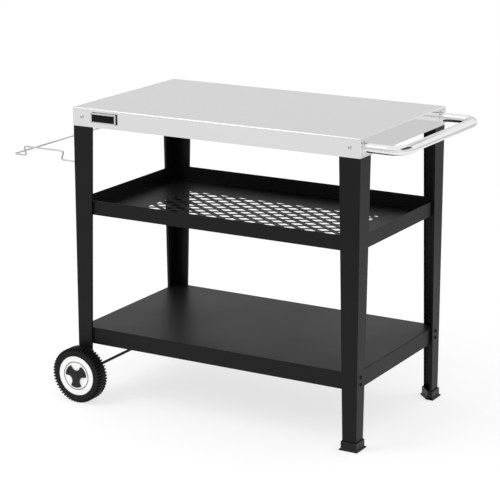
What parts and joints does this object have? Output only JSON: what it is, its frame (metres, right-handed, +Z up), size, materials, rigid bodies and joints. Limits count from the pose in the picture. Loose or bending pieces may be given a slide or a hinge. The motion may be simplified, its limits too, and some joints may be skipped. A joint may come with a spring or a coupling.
{
  "type": "serving cart",
  "caption": "Outdoor serving cart with a folded steel worktop, perforated tray, lower shelf, tube handle, tipping wire bag frame and wheels under the far end.",
  "frame": {"origin": "on the floor, at the middle of the cart's overall length and depth", "axes": "+X along the cart towards the handle, +Y from front to back, +Z up"},
  "size_m": [1.208, 0.607, 0.828],
  "materials": {
    "stainless": "satin",
    "black_coat": "fine-textured powder coat",
    "chrome": "polished",
    "zinc": "bright zinc",
    "black_steel": "black oxide",
    "tyre": "matte",
    "rim": "satin",
    "cap": "satin",
    "foot": "satin",
    "plate": "gloss"
  },
  "bodies": {
    "cart": {"worktop": "stainless", "leg_front_left": "black_coat", "leg_front_right": "black_coat", "leg_back_left": "black_coat", "leg_back_right": "black_coat", "tray_shelf": "black_coat", "lower_shelf": "black_coat", "stiffener_front": "black_coat", "stiffener_back": "black_coat", "handle_tube": "chrome", "apron_bolts": "zinc", "apron_nuts": "zinc", "shelf_spacers": "zinc", "shelf_nuts": "zinc", "tray_nuts": "zinc", "handle_plugs": "zinc", "handle_washers": "zinc", "handle_bolts": "zinc", "axle_spacers": "zinc", "axle_washers": "zinc", "axle_nuts": "zinc", "shelf_bolts": "black_steel", "tray_screws": "black_steel", "axle_rod": "black_steel", "foot_front": "foot", "foot_back": "foot", "name_plate": "plate"},
    "front_wheel": {"wheel_front_tyre": "tyre", "wheel_front_rim": "rim", "wheel_front_cap": "cap"},
    "back_wheel": {"wheel_back_tyre": "tyre", "wheel_back_rim": "rim", "wheel_back_cap": "cap"},
    "bag_holder": {"bag_frame": "chrome"}
  },
  "joints": [
    {"name": "wheel_front_spin", "type": "hinge", "parent": "cart", "child": "front_wheel", "pos_m": [-0.3602, -0.2805, 0.0785], "axis": [0, 1, 0], "continuous": true},
    {"name": "wheel_back_spin", "type": "hinge", "parent": "cart", "child": "back_wheel", "pos_m": [-0.3602, 0.2805, 0.0785], "axis": [0, 1, 0], "continuous": true},
    {"name": "bag_frame_tilt", "type": "hinge", "parent": "cart", "child": "bag_holder", "pos_m": [-0.37975, 0, 0.67], "axis": [0, 1, 0], "range_deg": [0, 60]}
  ]
}
